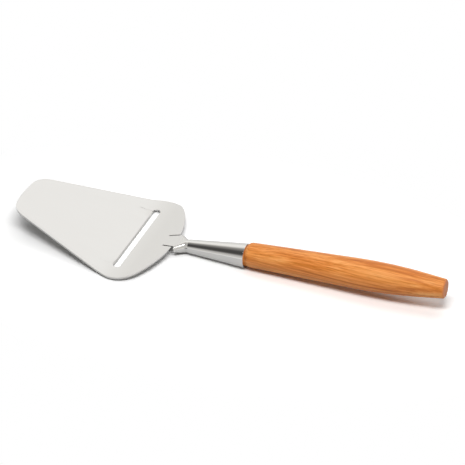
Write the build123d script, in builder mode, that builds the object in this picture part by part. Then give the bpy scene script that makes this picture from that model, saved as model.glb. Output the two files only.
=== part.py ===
from build123d import *
import math
import os

# Cheese plane: a blade stamped from one steel sheet, whose neck is rolled into a
# conical socket, a steel tang inside the socket, and a turned wooden handle.
# Lengths are in millimetres and angles in degrees. +X points to the handle's end,
# +Z is up, and the plane lies as it rests on a table, on its lip and its socket.

# Steel sheet
sheet = 1.0                     # thickness of the blade, the neck and the socket

# Outline of the blade, seen from above
blade_nose = 67.9               # slot to the front edge, on the centre line
blade_tail = 23.8               # slot to the back edge, on the centre line
nose_width = 33.4               # between the front corners before rounding
tail_width = 83.0               # between the back corners before rounding
nose_bow_radius = 82.0          # the front edge is slightly bowed
tail_bow_radius = 61.5          # the back edge is bowed more strongly
nose_corner_radius = 10.8
tail_corner_radius = 15.2

# Side view of the blade: a shallow V that is lowest at the slot
nose_rise_angle = 12.7
tail_rise_angle = 12.0
fold_height = 1.05              # where the two upper faces would meet, over the table
fold_radius = 45.0

# Slot with its cutting lip
slot_length = 58.2
slot_width = 4.3
lip_drop = 0.1                  # of the lip's shoulders, under the nose's plane
lip_fade = 5.0                  # from a shoulder to the lip's end
lip_bevel_run = 0.6
lip_bevel_drop = 0.7

# Neck between the blade and the socket
neck_length = 7.0
neck_width = 10.8               # where it leaves the blade
slit_width = 0.8
slit_length = 5.6
slit_angle = 9.0                # the two relief slits spread towards the neck
wing_bend_radius = 2.0          # where the neck's sides are folded down
wing_bend_angle = 85.0
wing_depth = 0.9                # straight part of the folded side
throat_place = 0.72             # share of the neck after which its top is round
throat_radius = 3.4
throat_angle = 150.0            # how far the sides have curled round there

# Conical socket, rolled from the neck, with its seam underneath
socket_length = 33.5
socket_tilt = 3.9
socket_mouth_radius = 6.6
seam_gap = 0.6                  # at the socket's mouth
crown_flat = 0.25               # flat left along the top and at the seam's edges

# Tang
tang_radius = 2.6
tang_fit = 0.05                 # all round the tang, in the socket and in the wood
tang_in_handle = 68.0
tang_setback = 0.5              # from the socket's narrow end
tang_chamfer = 0.5
bore_end_gap = 1.5

# Handle, two tapers that would meet at the belly but are blended there
handle_length = 111.2
handle_tilt = 3.3
handle_offset = 1.15            # of its centre over the socket's, at the front face
handle_front_radius = 6.7
handle_belly_radius = 8.6
handle_end_radius = 5.15
handle_belly_place = 79.0       # from the front face
handle_belly_blend = 280.0
handle_blend_limit = 0.9        # share of the rear taper that the blend may take up
handle_front_rounding = 3.2
handle_end_chamfer = 0.6
spigot_length = 8.0
spigot_fit = 0.1

# Values that follow from the sizes above
socket_tip_radius = tang_radius + tang_fit + sheet
socket_slope = (socket_mouth_radius - socket_tip_radius) / socket_length
slot_x = -(socket_length + neck_length + slit_width + blade_tail)
nose_x = slot_x - blade_nose
tail_x = slot_x + blade_tail
neck_front_x = tail_x + slit_width
nose_slope = math.tan(math.radians(nose_rise_angle))
tail_slope = math.tan(math.radians(tail_rise_angle))
fold_tangent = fold_radius * math.tan(math.radians((nose_rise_angle + tail_rise_angle) / 2))
socket_centre_height = socket_mouth_radius * math.cos(math.radians(socket_tilt))
seam_angle = 180 - math.degrees(math.asin(seam_gap / 2 / socket_mouth_radius))


def leaning_axis(height, tilt):
    """An axis over the origin at a height, rising towards the handle's end."""
    return Axis((0, 0, height), Vector(1, 0, 0).rotate(Axis.Y, -tilt))


def side_plane(axis):
    """The upright plane through an axis: its x runs along the axis and its y upwards."""
    return Plane(axis.position, x_dir=axis.direction, z_dir=(0, -1, 0))


# The socket's mouth touches the table, and the handle sits a little higher on it
socket_axis = leaning_axis(socket_centre_height, socket_tilt)
socket_plane = side_plane(socket_axis)
handle_axis = leaning_axis(socket_centre_height + handle_offset, handle_tilt)
handle_plane = side_plane(handle_axis)


def upper_face(x):
    """The point at x on the blade's upper face, before the fold is rounded."""
    slope = nose_slope if x < slot_x else tail_slope
    return Vector(x, 0, fold_height + abs(x - slot_x) * slope)


def bow_depth(radius, width):
    return radius - math.sqrt(radius ** 2 - (width / 2) ** 2)


def cross_plane(origin, direction):
    """A plane across the neck or the socket, whose y points up."""
    return Plane(origin, x_dir=(0, 1, 0), z_dir=direction)


def sheet_channel(plane, flat, bend_radius, bend_angle, straight):
    """Section of the sheet with both sides bent down, its top on the plane's x axis."""
    down = Vector(1, 0).rotate(Axis.Z, -bend_angle)
    with BuildSketch(plane) as section:
        with BuildLine():
            outer_top = Line((0, 0), (flat, 0))
            outer_bend = JernArc(outer_top @ 1, (1, 0), bend_radius, -bend_angle)
            outer_side = Line(outer_bend @ 1, outer_bend @ 1 + down * straight)
            inner_top = Line((0, -sheet), (flat, -sheet))
            inner_bend = JernArc(inner_top @ 1, (1, 0), bend_radius - sheet, -bend_angle)
            inner_side = Line(inner_bend @ 1, inner_bend @ 1 + down * straight)
            Line(outer_side @ 1, inner_side @ 1)
            mirror(about=Plane.YZ)
        make_face()
    return section.sketch


# Plan of the blade and its neck
nose_corner = (nose_x + bow_depth(nose_bow_radius, nose_width), nose_width / 2)
tail_corner = (tail_x - bow_depth(tail_bow_radius, tail_width), tail_width / 2)
slot_middle_x = slot_x + lip_bevel_run / 2
slot_front_x = slot_middle_x - slot_width / 2
slit_mouth = Vector(tail_x, (neck_width + slit_width) / 2)
slit_direction = Vector(1, 0).rotate(Axis.Z, slit_angle)
slit_middle = slit_mouth - slit_direction * slit_length / 2

with BuildSketch() as blade_plan:
    with BuildLine():
        nose_edge = ThreePointArc((nose_corner[0], -nose_corner[1]), (nose_x, 0), nose_corner)
        far_side = Line(nose_edge @ 1, tail_corner)
        tail_edge = ThreePointArc(far_side @ 1, (tail_x, 0), (tail_corner[0], -tail_corner[1]))
        Line(tail_edge @ 1, nose_edge @ 0)
    make_face()
    corners = blade_plan.vertices().sort_by(Axis.X)
    fillet(corners[:2], nose_corner_radius)
    corners = blade_plan.vertices().sort_by(Axis.Y)
    fillet([corners[0], corners[-1]], tail_corner_radius)
    with Locations((tail_x, 0)):
        Rectangle(2 * neck_length, neck_width)
    for side in (1, -1):
        with Locations((slit_middle.X, side * slit_middle.Y)):
            SlotOverall(slit_length + 2 * slit_width, slit_width, rotation=side * slit_angle,
                        mode=Mode.SUBTRACT)
    with Locations((slot_middle_x, 0)):
        SlotOverall(slot_length, slot_width, rotation=90, mode=Mode.SUBTRACT)

# The lip starts where the fold starts, and follows the fold's curve at its two ends
lip_root_x = slot_x - fold_tangent * math.cos(math.radians(nose_rise_angle))
lip_half_length = (slot_length - slot_width) / 2
fold_lean = (nose_rise_angle - tail_rise_angle) / 2
fold_opening = math.radians((nose_rise_angle + tail_rise_angle) / 2)
fold_centre = upper_face(slot_x) + (
    Vector(0, 0, fold_radius / math.cos(fold_opening)).rotate(Axis.Y, -fold_lean)
)


def fold_face(x, radius=fold_radius):
    """The point at x on a face of the fold, the upper one unless a radius is given."""
    return Vector(x, 0, fold_centre.Z - math.sqrt(radius ** 2 - (x - fold_centre.X) ** 2))


def fold_underside(x):
    return fold_face(x, fold_radius + sheet)


lip_thickness = fold_face(lip_root_x) - fold_underside(lip_root_x)
# In its middle the lip's edge reaches the table
lip_middle_drop = (upper_face(slot_front_x) - lip_thickness).Z


def lip_section(y, drop=None):
    """Section of the lip at y, with the bevel ground on its cutting edge.

    Its edge lies by the drop under the nose's plane. Without one it follows the fold.
    """
    def face(x):
        if drop is None:
            return fold_face(x)
        share = (x - lip_root_x) / (slot_front_x - lip_root_x)
        return upper_face(x) - Vector(0, 0, drop * share ** 2)

    def underside(x):
        return fold_underside(x) if drop is None else face(x) - lip_thickness

    bevel_x = slot_front_x - lip_bevel_run
    edge_top = face(slot_front_x) - Vector(0, 0, lip_bevel_drop)
    top = [face(x) for x in (lip_root_x, (lip_root_x + bevel_x) / 2, bevel_x)]
    bottom = [underside(x) for x in (slot_front_x, (lip_root_x + slot_front_x) / 2, lip_root_x)]
    with BuildSketch(Plane.XZ.offset(-y)) as section:
        with BuildLine():
            ThreePointArc(*[(p.X, p.Z) for p in top])
            Polyline(*[(p.X, p.Z) for p in (top[-1], edge_top, bottom[0])])
            ThreePointArc(*[(p.X, p.Z) for p in bottom])
            Line(*[(p.X, p.Z) for p in (bottom[-1], top[0])])
        make_face()
    return section.sketch


# Stations of the neck and the socket, each at the top of its section
neck_start = upper_face(neck_front_x)
socket_tip = socket_plane.from_local_coords(Vector(-socket_length, socket_tip_radius))
socket_mouth = socket_plane.from_local_coords(Vector(0, socket_mouth_radius))
throat = neck_start + (socket_tip - neck_start) * throat_place
tail_direction = Vector(1, 0, 0).rotate(Axis.Y, -tail_rise_angle)


def neck_section(share):
    """Section of the neck as its sides curl round, from its start at 0 to its throat at 1."""
    def between(start, end):
        return start + (end - start) * share

    direction = between(tail_direction, (socket_tip - neck_start).normalized())
    return sheet_channel(
        cross_plane(between(neck_start, throat), direction), between(neck_width / 2, crown_flat),
        between(wing_bend_radius, throat_radius), between(wing_bend_angle, throat_angle),
        between(wing_depth, crown_flat),
    )


def socket_section(top, radius):
    """Section of the socket, bent round until only the seam is left open."""
    return sheet_channel(cross_plane(top, socket_axis.direction), crown_flat, radius,
                         seam_angle, crown_flat)


with BuildPart() as blade:
    # The folded sheet, seen from the side, cut to its plan
    with BuildSketch(Plane.XZ):
        with BuildLine() as side_view:
            ends = (upper_face(nose_x - sheet), upper_face(slot_x), neck_start)
            FilletPolyline(*[(p.X, p.Z) for p in ends], radius=fold_radius)
            offset(amount=sheet, side=Side.RIGHT)
        make_face()
    extrude(amount=tail_width / 2, both=True)
    extrude(blade_plan.sketch, amount=blade_nose, both=True, mode=Mode.INTERSECT)
    # The lip takes the place of the sheet in front of the slot
    with Locations((lip_root_x, 0, 0)):
        Box(slot_front_x - lip_root_x, 2 * lip_half_length, blade_nose,
            align=(Align.MIN, Align.CENTER, Align.CENTER), mode=Mode.SUBTRACT)
    loft([
        lip_section(-lip_half_length),
        lip_section(lip_fade - lip_half_length, lip_drop),
        lip_section(0, lip_middle_drop),
        lip_section(lip_half_length - lip_fade, lip_drop),
        lip_section(lip_half_length),
    ], ruled=True)
    # Neck and socket
    loft([
        neck_section(0),
        neck_section(0.5),
        neck_section(1),
        socket_section(socket_tip, socket_tip_radius),
        socket_section(socket_mouth, socket_mouth_radius),
    ], ruled=True)
blade.part.label = "blade"

# Tang: a rod that grips the socket's narrow end and the bore in the wood
tang_start = tang_setback - socket_length
with BuildPart() as tang:
    with BuildSketch(socket_plane):
        with Locations((tang_start, 0)):
            Rectangle(tang_in_handle - tang_start, tang_radius, align=Align.MIN)
    revolve(axis=socket_axis)
    ends = tang.edges().filter_by(GeomType.CIRCLE)
    chamfer(ends, tang_chamfer)
tang.part.label = "tang"

# Handle: turned to a belly. Its spigot and its bore follow the socket's axis
spigot_mouth_radius = socket_mouth_radius - sheet - spigot_fit
spigot_tip_radius = spigot_mouth_radius - spigot_length * socket_slope
bore_radius = tang_radius + tang_fit
front_taper = Vector(handle_belly_place, handle_belly_radius - handle_front_radius)
rear_taper = Vector(handle_length - handle_belly_place, handle_end_radius - handle_belly_radius)
half_turn = math.radians(front_taper.get_angle(rear_taper)) / 2
widest_blend = handle_blend_limit * rear_taper.length / math.tan(half_turn)
belly_blend = min(handle_belly_blend, widest_blend)
with BuildPart() as handle:
    with BuildSketch(handle_plane):
        with BuildLine():
            turned = FilletPolyline(
                (0, 0),
                (0, handle_front_radius),
                (handle_belly_place, handle_belly_radius),
                (handle_length, handle_end_radius),
                radius=[handle_front_rounding, belly_blend],
            )
            Polyline(turned @ 1, (handle_length, 0), turned @ 0)
        make_face()
    revolve(axis=handle_axis)
    chamfer(handle.edges().group_by(handle_axis)[-1], handle_end_chamfer)
    with BuildSketch(socket_plane):
        with BuildLine():
            Polyline(
                (handle_front_rounding, 0),
                (-spigot_length, 0),
                (-spigot_length, spigot_tip_radius),
                (0, spigot_mouth_radius),
                (handle_front_rounding, spigot_mouth_radius),
                close=True,
            )
        make_face()
    revolve(axis=socket_axis)
    with BuildSketch(socket_plane):
        with Locations((-spigot_length, 0)):
            Rectangle(spigot_length + tang_in_handle + bore_end_gap, bore_radius, align=Align.MIN)
    revolve(axis=socket_axis, mode=Mode.SUBTRACT)
handle.part.label = "handle"

# The origin is the middle of the footprint, on the table
pieces = (blade, tang, handle)
space = Compound([piece.part for piece in pieces]).bounding_box()
to_origin = Location((-space.center().X, -space.center().Y, -space.min.Z))
os.makedirs("parts", exist_ok=True)
for piece in pieces:
    label = piece.part.label
    piece.part = piece.part.moved(to_origin)
    piece.part.label = label
    export_step(piece.part, f"parts/{label}.step")
print("overall size", space.size, "moved by", to_origin.position)
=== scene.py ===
import math

import bmesh
import bpy
from mathutils import Matrix, Vector


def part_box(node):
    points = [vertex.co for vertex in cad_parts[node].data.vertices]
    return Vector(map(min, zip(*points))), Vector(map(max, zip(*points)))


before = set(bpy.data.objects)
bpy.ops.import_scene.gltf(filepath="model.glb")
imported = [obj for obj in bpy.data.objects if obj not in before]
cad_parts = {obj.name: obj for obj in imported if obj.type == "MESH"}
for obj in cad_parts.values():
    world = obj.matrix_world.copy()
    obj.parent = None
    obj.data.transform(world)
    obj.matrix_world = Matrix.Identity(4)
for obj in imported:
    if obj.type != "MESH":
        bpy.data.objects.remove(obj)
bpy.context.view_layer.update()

MM = 0.001

# Photograph: 465 px square, seen from the handle's near side and from above
IMAGE_PX = 465
FOCAL_PX = 2000.0
CAMERA_AZIMUTH = math.radians(21.8)
CAMERA_ELEVATION = math.radians(35.0)
CAMERA_ROLL = math.radians(-0.4)
CAMERA_DISTANCE = 1.107
CAMERA_TARGET = Vector((-0.00785, 0.0260, 0.00025))
SENSOR_WIDTH = 36.0

# Lamps: a wide softbox above the tool's far side, a smaller one above its near side, and a
# strip light further off. Only the strip shows in the metal, as bright lines along its
# bends and edges
FAR_PLACE = (-0.05, 0.22, 0.60)
FAR_SIZE = (0.90, 0.50)
FAR_POWER = 1.9
NEAR_PLACE = (0.10, -0.24, 0.50)
NEAR_SIZE = (0.36, 0.16)
NEAR_POWER = 1.8
STRIP_PLACE = (0.16, -0.46, 0.96)
STRIP_SIZE = (0.60, 0.12)
STRIP_POWER = 1.6

# Studio walls, and a dark flag above the blade's side of the tool. The flag's edges are
# places along X on a dome round the tool, each from clear to full
WALLS_IN_METAL = 1.2            # strength of the walls in reflections
WALLS_ON_MATT = 0.12            # and their strength on matt surfaces
FLAG_NEAR = (-0.20, -0.36)      # the edge towards the handle
FLAG_FAR = (-0.72, -0.60)       # and the edge beyond the blade

# White floor
FLOOR_HALF_WIDTH = 6.0
FLOOR_WHITE = 0.65
FLOOR_SEEN_WHITE = 1.22         # as the camera sees it, just past white
PLAIN_FLOOR = (0.145, 0.19)     # where it turns plain white, along the tool from its middle
PLAIN_FLOOR_SHAPE = (1.0, 1.8, 1.0)     # and this many times nearer beside the tool

# Stainless sheet
SHEET_EDGE_RADIUS = 0.2 * MM    # the cut edges are broken by this much
POLISH_START = 7.0 * MM         # before the tang, on the neck, the satin starts to give way
POLISH_END = 3.0 * MM           # and from here the polish is full
SATIN_LENGTH = 14.0 * MM        # of one mark of the satin brush
SATIN_WIDTH = 0.3 * MM          # coarser than the real marks, so that they show
SATIN_DEPTH = 0.02 * MM
SATIN_ROUGHNESS = (0.30, 0.36)
POLISH_ROUGHNESS = 0.07

# Steel rod of the tang
DRAWN_LENGTH = 20.0 * MM        # of one line left by the drawing die
DRAWN_WIDTH = 0.3 * MM
DRAWN_ROUGHNESS = (0.3, 0.5)

# Wooden handle
BAND_WIDTH = 4.0 * MM           # from one dark band of growth to the next
BAND_LENGTH = 220.0 * MM
GRAIN_LINE = 0.9 * MM           # from one fine line of grain to the next
GRAIN_LENGTH = 160.0 * MM
GRAIN_WAVE = 90.0 * MM          # from one slow bend of the grain to the next
GRAIN_SHIFT = 2.0 * MM          # how far a bend carries the grain sideways
PORE_LENGTH = 7.0 * MM
PORE_WIDTH = 0.35 * MM          # coarser than the real pores, so that they show
PORE_DEPTH = 0.03 * MM
LINE_SHARE = 0.55               # of the fine lines in the wood's tone, the rest is bands
PORE_SHARE = 0.4                # how strongly the pores darken the wood
OIL_ROUGHNESS = (0.36, 0.5)
OIL_IOR = 1.45


def camera_axes():
    """Right, up and back of the camera, turned by its azimuth, elevation and roll."""
    back = Vector((
        math.sin(CAMERA_AZIMUTH) * math.cos(CAMERA_ELEVATION),
        -math.cos(CAMERA_AZIMUTH) * math.cos(CAMERA_ELEVATION),
        math.sin(CAMERA_ELEVATION),
    ))
    level = Vector((math.cos(CAMERA_AZIMUTH), math.sin(CAMERA_AZIMUTH), 0.0))
    turn = Matrix.Rotation(CAMERA_ROLL, 3, back)
    right = turn @ level
    return right, back.cross(right), back


def add_camera():
    right, up, back = camera_axes()
    data = bpy.data.cameras.new("camera")
    data.sensor_width = SENSOR_WIDTH
    data.lens = SENSOR_WIDTH * FOCAL_PX / IMAGE_PX
    camera = bpy.data.objects.new("camera", data)
    camera.matrix_world = Matrix.Translation(CAMERA_TARGET + back * CAMERA_DISTANCE) @ (
        Matrix((right, up, back)).transposed().to_4x4()
    )
    bpy.context.scene.collection.objects.link(camera)
    bpy.context.scene.camera = camera


def linear(hex_colour):
    """An sRGB hex colour as linear RGBA."""
    channels = [int(hex_colour[i:i + 2], 16) / 255 for i in (1, 3, 5)]
    curve = [c / 12.92 if c <= 0.04045 else ((c + 0.055) / 1.055) ** 2.4 for c in channels]
    return (*curve, 1.0)


def set_stops(ramp, stops):
    """Gives a colour ramp its stops, which are pairs of a place and a hex colour."""
    while len(ramp.elements) < len(stops):
        ramp.elements.new(0.5)
    for element, (place, colour) in zip(ramp.elements, stops):
        element.position = place
        element.color = linear(colour)


def add_node(tree, kind, settings=None, stops=None, **links):
    """Adds a node. A link's value is a socket to join or a plain value to set.

    A link goes by its socket's name, or by i and its socket's number.
    """
    node = tree.nodes.new(kind)
    for name, value in (settings or {}).items():
        setattr(node, name, value)
    if stops:
        set_stops(node.color_ramp, stops)
    for name, value in links.items():
        number = name[1:] if name[0] == "i" else ""
        socket = node.inputs[int(number) if number.isdigit() else name.replace("_", " ")]
        if isinstance(value, bpy.types.NodeSocket):
            tree.links.new(value, socket)
        else:
            socket.default_value = value
    return node


def new_material(name):
    material = bpy.data.materials.new(name)
    material.use_nodes = True
    material.node_tree.nodes.clear()
    return material, material.node_tree


def rolled_stainless():
    """Stainless sheet: a fine satin on the blade, worn smooth and polished on the socket.

    The satin blurs what it reflects into one pale, slightly warm grey. The polish shows the
    studio as long dark and light stripes.
    """
    material, tree = new_material("rolled_stainless_sheet")
    tang_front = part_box("tang")[0].x
    place = add_node(tree, "ShaderNodeTexCoord")
    along = add_node(tree, "ShaderNodeSeparateXYZ", i0=place.outputs["Object"])
    polish = add_node(tree, "ShaderNodeMapRange", {"interpolation_type": "SMOOTHSTEP"},
                      Value=along.outputs["X"], From_Min=tang_front - POLISH_START,
                      From_Max=tang_front - POLISH_END)
    stretch = add_node(tree, "ShaderNodeMapping", Vector=place.outputs["Object"],
                       Scale=(1 / SATIN_LENGTH, 1 / SATIN_WIDTH, 1 / SATIN_LENGTH))
    brush = add_node(tree, "ShaderNodeTexNoise", Vector=stretch.outputs[0], Scale=1.0,
                     Detail=3.0, Roughness=0.6)
    satin = add_node(tree, "ShaderNodeMapRange", Value=brush.outputs[0], From_Min=0.3,
                     From_Max=0.7, To_Min=SATIN_ROUGHNESS[0], To_Max=SATIN_ROUGHNESS[1])
    rough = add_node(tree, "ShaderNodeMix", {"data_type": "FLOAT"}, i0=polish.outputs[0],
                     i2=satin.outputs[0], i3=POLISH_ROUGHNESS)
    edges = add_node(tree, "ShaderNodeBevel", {"samples": 6}, Radius=SHEET_EDGE_RADIUS)
    bump = add_node(tree, "ShaderNodeBump", Strength=0.04, Distance=SATIN_DEPTH,
                    Height=brush.outputs[0], Normal=edges.outputs[0])
    shader = add_node(tree, "ShaderNodeBsdfPrincipled", Base_Color=linear("#e2e1df"),
                      Metallic=1.0, Roughness=rough.outputs[0], Normal=bump.outputs[0])
    add_node(tree, "ShaderNodeOutputMaterial", Surface=shader.outputs[0])
    return material


def drawn_steel():
    """Plain drawn steel rod: a duller grey with faint lines along it."""
    material, tree = new_material("drawn_steel_rod")
    place = add_node(tree, "ShaderNodeTexCoord")
    stretch = add_node(tree, "ShaderNodeMapping", Vector=place.outputs["Object"],
                       Scale=(1 / DRAWN_LENGTH, 1 / DRAWN_WIDTH, 1 / DRAWN_WIDTH))
    lines = add_node(tree, "ShaderNodeTexNoise", Vector=stretch.outputs[0], Scale=1.0)
    rough = add_node(tree, "ShaderNodeMapRange", Value=lines.outputs[0],
                     To_Min=DRAWN_ROUGHNESS[0], To_Max=DRAWN_ROUGHNESS[1])
    shader = add_node(tree, "ShaderNodeBsdfPrincipled", Base_Color=linear("#b9b7b2"),
                      Metallic=1.0, Roughness=rough.outputs[0])
    add_node(tree, "ShaderNodeOutputMaterial", Surface=shader.outputs[0])
    return material


def oiled_cherry():
    """Turned cherry under oil: warm orange, in straight bands and fine lines along it.

    The oil gives a low, broad sheen. The end grain is plain and a little redder.
    """
    material, tree = new_material("oiled_cherry")
    place = add_node(tree, "ShaderNodeTexCoord")
    wave = add_node(tree, "ShaderNodeTexNoise", Vector=place.outputs["Object"],
                    Scale=1 / GRAIN_WAVE, Detail=1.0)
    shift = add_node(tree, "ShaderNodeVectorMath", {"operation": "MULTIPLY_ADD"},
                     i0=wave.outputs["Color"], i1=(0.0, GRAIN_SHIFT, GRAIN_SHIFT),
                     i2=place.outputs["Object"])
    band_place = add_node(tree, "ShaderNodeMapping", Vector=shift.outputs[0],
                          Scale=(1 / BAND_LENGTH, 1 / BAND_WIDTH, 1 / BAND_WIDTH))
    bands = add_node(tree, "ShaderNodeTexNoise", Vector=band_place.outputs[0], Scale=1.0,
                     Detail=1.0)
    line_place = add_node(tree, "ShaderNodeMapping", Vector=shift.outputs[0],
                          Scale=(1 / GRAIN_LENGTH, 1 / GRAIN_LINE, 1 / GRAIN_LINE))
    lines = add_node(tree, "ShaderNodeTexNoise", Vector=line_place.outputs[0], Scale=1.0,
                     Detail=3.0, Roughness=0.6)
    pore_place = add_node(tree, "ShaderNodeMapping", Vector=place.outputs["Object"],
                          Scale=(1 / PORE_LENGTH, 1 / PORE_WIDTH, 1 / PORE_WIDTH))
    pores = add_node(tree, "ShaderNodeTexNoise", Vector=pore_place.outputs[0], Scale=1.0,
                     Detail=1.0)
    tone = add_node(tree, "ShaderNodeMix", {"data_type": "FLOAT"}, i0=LINE_SHARE,
                    i2=bands.outputs[0], i3=lines.outputs[0])
    side_grain = add_node(tree, "ShaderNodeValToRGB", Fac=tone.outputs[0], stops=[
        (0.34, "#bd6420"), (0.45, "#db8134"), (0.54, "#f09c50"), (0.66, "#ffb76c"),
    ])
    dark_pores = add_node(tree, "ShaderNodeValToRGB", Fac=pores.outputs[0], stops=[
        (0.30, "#c9b3a0"), (0.42, "#ffffff"),
    ])
    flecked = add_node(tree, "ShaderNodeMix", {"data_type": "RGBA", "blend_type": "MULTIPLY"},
                       i0=PORE_SHARE, i6=side_grain.outputs[0], i7=dark_pores.outputs[0])
    facing = add_node(tree, "ShaderNodeSeparateXYZ", i0=place.outputs["Normal"])
    end = add_node(tree, "ShaderNodeMapRange", {"interpolation_type": "SMOOTHSTEP"},
                   Value=facing.outputs["X"], From_Min=0.3, From_Max=0.9)
    wood = add_node(tree, "ShaderNodeMix", {"data_type": "RGBA"}, i0=end.outputs[0],
                    i6=flecked.outputs[2], i7=linear("#f0945a"))
    bump = add_node(tree, "ShaderNodeBump", Strength=0.25, Distance=PORE_DEPTH,
                    Height=pores.outputs[0])
    rough = add_node(tree, "ShaderNodeMapRange", Value=lines.outputs[0],
                     To_Min=OIL_ROUGHNESS[0], To_Max=OIL_ROUGHNESS[1])
    shader = add_node(tree, "ShaderNodeBsdfPrincipled", Base_Color=wood.outputs[2],
                      Roughness=rough.outputs[0], IOR=OIL_IOR, Normal=bump.outputs[0])
    add_node(tree, "ShaderNodeOutputMaterial", Surface=shader.outputs[0])
    return material


def seen_rays(tree):
    """1 for rays from the camera and for those that metal or glass turns on, otherwise 0."""
    path = add_node(tree, "ShaderNodeLightPath")
    turned = add_node(tree, "ShaderNodeMath", {"operation": "MAXIMUM"},
                      i0=path.outputs["Is Glossy Ray"], i1=path.outputs["Is Transmission Ray"])
    seen = add_node(tree, "ShaderNodeMath", {"operation": "MAXIMUM"},
                    i0=path.outputs["Is Camera Ray"], i1=turned.outputs[0])
    return seen.outputs[0]


def add_stage():
    """A white floor that keeps the shadow, and shows a little brighter to the camera.

    Away from the tool and its shadow it is plain white, to the camera and in the metal.
    """
    mesh = bmesh.new()
    bmesh.ops.create_grid(mesh, x_segments=1, y_segments=1, size=FLOOR_HALF_WIDTH)
    data = bpy.data.meshes.new("floor")
    mesh.to_mesh(data)
    mesh.free()
    floor = bpy.data.objects.new("floor", data)
    bpy.context.scene.collection.objects.link(floor)
    material, tree = new_material("white_floor")
    path = add_node(tree, "ShaderNodeLightPath")
    white = add_node(tree, "ShaderNodeMapRange", Value=path.outputs["Is Camera Ray"],
                     To_Min=FLOOR_WHITE, To_Max=FLOOR_SEEN_WHITE)
    painted = add_node(tree, "ShaderNodeBsdfDiffuse", Color=white.outputs[0])
    plain = add_node(tree, "ShaderNodeEmission", Color=linear("#ffffff"), Strength=1.0)
    place = add_node(tree, "ShaderNodeTexCoord")
    oval = add_node(tree, "ShaderNodeMapping", Vector=place.outputs["Object"],
                    Scale=PLAIN_FLOOR_SHAPE)
    reach = add_node(tree, "ShaderNodeVectorMath", {"operation": "LENGTH"},
                     i0=oval.outputs[0])
    away = add_node(tree, "ShaderNodeMapRange", {"interpolation_type": "SMOOTHSTEP"},
                    Value=reach.outputs["Value"], From_Min=PLAIN_FLOOR[0],
                    From_Max=PLAIN_FLOOR[1])
    shown = add_node(tree, "ShaderNodeMath", {"operation": "MULTIPLY"}, i0=away.outputs[0],
                     i1=seen_rays(tree))
    surface = add_node(tree, "ShaderNodeMixShader", i0=shown.outputs[0],
                       i1=painted.outputs[0], i2=plain.outputs[0])
    add_node(tree, "ShaderNodeOutputMaterial", Surface=surface.outputs[0])
    data.materials.append(material)


def add_lamp(name, place, size, power, in_reflections):
    """A rectangular lamp that points at the middle of the tool."""
    data = bpy.data.lights.new(name, "AREA")
    data.shape = "RECTANGLE"
    data.size, data.size_y = size
    data.energy = power
    lamp = bpy.data.objects.new(name, data)
    lamp.location = place
    lamp.rotation_euler = (-Vector(place)).to_track_quat("-Z", "Y").to_euler()
    lamp.visible_glossy = in_reflections
    bpy.context.scene.collection.objects.link(lamp)


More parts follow.
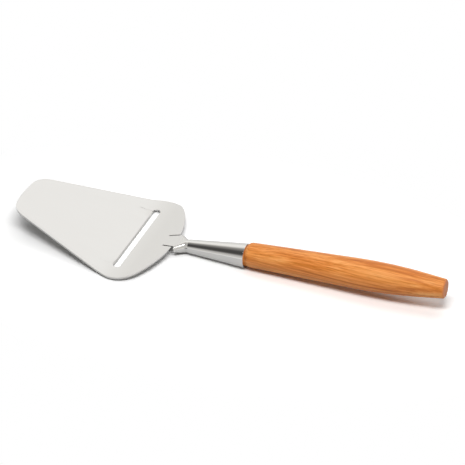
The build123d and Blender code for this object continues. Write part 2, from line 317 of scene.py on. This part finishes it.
def add_world():
    """The studio: pale walls, with a dark flag hung above the blade's side of the tool.

    The flag gives the polished socket its dark stripe. Reflections see the studio at full
    strength, matt surfaces get a small share of it, and the camera sees plain white.
    """
    world = bpy.data.worlds.new("studio")
    world.use_nodes = True
    tree = world.node_tree
    tree.nodes.clear()
    place = add_node(tree, "ShaderNodeTexCoord")
    split = add_node(tree, "ShaderNodeSeparateXYZ", i0=place.outputs["Generated"])
    # 0 at the far horizon, 0.5 overhead and 1 at the horizon behind the camera
    angle = add_node(tree, "ShaderNodeMath", {"operation": "ARCTAN2"},
                     i0=split.outputs["Z"], i1=split.outputs["Y"])
    share = add_node(tree, "ShaderNodeMath", {"operation": "DIVIDE"},
                     i0=angle.outputs[0], i1=math.pi)
    walls = add_node(tree, "ShaderNodeValToRGB", Fac=share.outputs[0], stops=[
        (0.0, "#dcdbd8"), (0.14, "#ebeae7"), (0.21, "#ffffff"), (0.32, "#f4f2ee"),
        (0.50, "#c4c2be"), (0.85, "#c4c2be"), (1.0, "#d8d6d3"),
    ])
    flagged = add_node(tree, "ShaderNodeValToRGB", Fac=share.outputs[0], stops=[
        (0.0, "#d4d3d0"), (0.14, "#e3e2df"), (0.21, "#f6f5f3"), (0.32, "#eeece8"),
        (0.37, "#c8c6c2"), (0.43, "#989693"), (0.52, "#767472"), (0.61, "#4c4a49"),
        (0.74, "#444342"), (0.80, "#5e5c5a"), (0.87, "#b0aeac"), (1.0, "#d8d6d3"),
    ])
    near = add_node(tree, "ShaderNodeMapRange", {"interpolation_type": "SMOOTHSTEP"},
                    Value=split.outputs["X"], From_Min=FLAG_NEAR[1], From_Max=FLAG_NEAR[0])
    far = add_node(tree, "ShaderNodeMapRange", {"interpolation_type": "SMOOTHSTEP"},
                   Value=split.outputs["X"], From_Min=FLAG_FAR[0], From_Max=FLAG_FAR[1],
                   To_Min=1.0, To_Max=0.0)
    clear = add_node(tree, "ShaderNodeMath", {"operation": "MAXIMUM"}, i0=near.outputs[0],
                     i1=far.outputs[0])
    studio = add_node(tree, "ShaderNodeMix", {"data_type": "RGBA"}, i0=clear.outputs[0],
                      i6=flagged.outputs[0], i7=walls.outputs[0])
    level = add_node(tree, "ShaderNodeMapRange", Value=seen_rays(tree), To_Min=WALLS_ON_MATT,
                     To_Max=WALLS_IN_METAL)
    lit = add_node(tree, "ShaderNodeBackground", Color=studio.outputs[2],
                   Strength=level.outputs[0])
    white = add_node(tree, "ShaderNodeBackground", Color=linear("#ffffff"), Strength=1.0)
    path = add_node(tree, "ShaderNodeLightPath")
    sky = add_node(tree, "ShaderNodeMixShader", i0=path.outputs["Is Camera Ray"],
                   i1=lit.outputs[0], i2=white.outputs[0])
    add_node(tree, "ShaderNodeOutputWorld", Surface=sky.outputs[0])
    bpy.context.scene.world = world


add_camera()
add_stage()
add_world()
add_lamp("far_softbox", FAR_PLACE, FAR_SIZE, FAR_POWER, in_reflections=False)
add_lamp("near_softbox", NEAR_PLACE, NEAR_SIZE, NEAR_POWER, in_reflections=False)
add_lamp("strip_light", STRIP_PLACE, STRIP_SIZE, STRIP_POWER, in_reflections=True)

finishes = {"blade": rolled_stainless(), "tang": drawn_steel(), "handle": oiled_cherry()}
for name, finish in finishes.items():
    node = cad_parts[name]
    node.data.materials.clear()
    node.data.materials.append(finish)

bpy.context.scene.view_settings.view_transform = "Standard"
